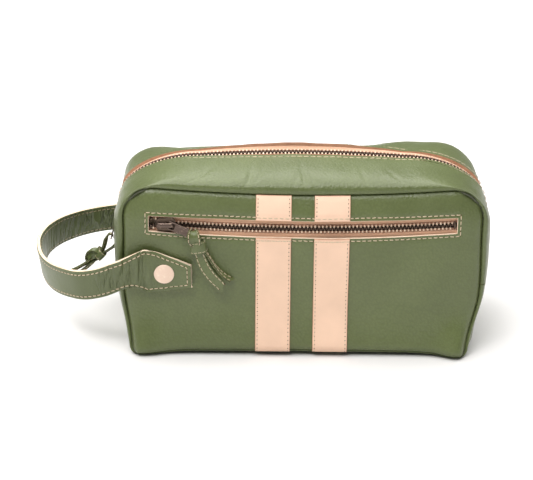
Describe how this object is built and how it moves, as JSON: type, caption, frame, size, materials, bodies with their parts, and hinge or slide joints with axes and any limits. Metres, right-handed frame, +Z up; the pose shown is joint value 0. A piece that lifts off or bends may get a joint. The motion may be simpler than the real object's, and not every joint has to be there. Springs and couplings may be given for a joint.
{
  "type": "wash bag",
  "caption": "Leather wash bag with a zip over its top, a zipped front pocket, two contrast stripes and a loop handle held by press studs.",
  "frame": {"origin": "middle of the flat base, on the surface that the bag stands on", "axes": "+X towards the bag's right end, away from the handle; -Y out of the front with the pocket; +Z up"},
  "size_m": [0.3235, 0.13, 0.134],
  "materials": {
    "green_leather": "semi-gloss grained leather",
    "natural_leather": "matt undyed leather",
    "lining": "plain cotton cloth",
    "zip_tape": "woven tape",
    "zip_metal": "dark antique brass",
    "snap_cap": "pale matt lacquer",
    "snap_metal": "nickel plate"
  },
  "bodies": {
    "bag": {"front_panel": "green_leather", "back_panel": "green_leather", "top_strip_front": "green_leather", "top_strip_back": "green_leather", "base_gusset": "green_leather", "stripe_left_lower": "natural_leather", "stripe_left_upper": "natural_leather", "stripe_right_lower": "natural_leather", "stripe_right_upper": "natural_leather", "lining_front": "lining", "lining_top_front": "lining", "lining_back": "lining", "lining_top_back": "lining", "lining_base": "lining", "pocket_bag": "lining", "main_zip_tape_front": "zip_tape", "main_zip_tape_back": "zip_tape", "pocket_zip_tape_lower": "zip_tape", "pocket_zip_tape_upper": "zip_tape", "main_zip_teeth_front": "zip_metal", "main_zip_top_stop_front": "zip_metal", "main_zip_teeth_back": "zip_metal", "main_zip_top_stop_back": "zip_metal", "main_zip_bottom_stop": "zip_metal", "pocket_zip_teeth_lower": "zip_metal", "pocket_zip_top_stop_lower": "zip_metal", "pocket_zip_teeth_upper": "zip_metal", "pocket_zip_top_stop_upper": "zip_metal", "pocket_zip_bottom_stop": "zip_metal", "front_stud": "snap_metal", "front_stud_washer": "snap_metal", "back_stud": "snap_metal", "back_stud_washer": "snap_metal"},
    "handle": {"handle_inner_layer": "green_leather", "handle_outer_layer": "green_leather", "front_cap": "snap_cap", "back_cap": "snap_cap", "front_socket": "snap_metal", "back_socket": "snap_metal"},
    "pocket_runner": {"pocket_slider": "zip_metal", "pocket_slider_back": "zip_metal"},
    "pocket_tab": {"pocket_pull_tab": "zip_metal"},
    "pocket_tassel": {"pocket_thong": "green_leather", "pocket_thong_wrap": "green_leather"},
    "main_runner": {"main_slider": "zip_metal", "main_slider_back": "zip_metal"},
    "main_tab": {"main_pull_tab": "zip_metal"},
    "main_tassel": {"main_thong": "green_leather", "main_thong_wrap": "green_leather"}
  },
  "joints": [
    {"name": "handle_swing", "type": "hinge", "parent": "bag", "child": "handle", "pos_m": [-0.095, 0, 0.0627], "axis": [0, 1, 0], "range_deg": [-25, 90]},
    {"name": "pocket_zip_slide", "type": "slide", "parent": "bag", "child": "pocket_runner", "axis": [1, 0, 0], "range_m": [0, 0.188]},
    {"name": "pocket_tab_lift", "type": "hinge", "parent": "pocket_runner", "child": "pocket_tab", "pos_m": [-0.0915, -0.05715, 0.0968], "axis": [-0.342, 0, -0.9397], "range_deg": [0, 120]},
    {"name": "pocket_tassel_swing", "type": "hinge", "parent": "pocket_tab", "child": "pocket_tassel", "pos_m": [-0.07479, -0.05997, 0.09072], "axis": [-0.147, -0.9877, 0.0535], "range_deg": [-3, 40]},
    {"name": "main_zip_slide", "type": "slide", "parent": "bag", "child": "main_runner", "axis": [-0.0972, 0, 0.9953], "range_m": [-0.018, 0.005]},
    {"name": "main_tab_lift", "type": "hinge", "parent": "main_runner", "child": "main_tab", "pos_m": [-0.13237, 0, 0.08388], "axis": [0, 1, 0], "range_deg": [-5, 100]},
    {"name": "main_tassel_swing", "type": "hinge", "parent": "main_tab", "child": "main_tassel", "pos_m": [-0.13685, 0, 0.06645], "axis": [0, 1, 0], "range_deg": [-35, 15]}
  ]
}
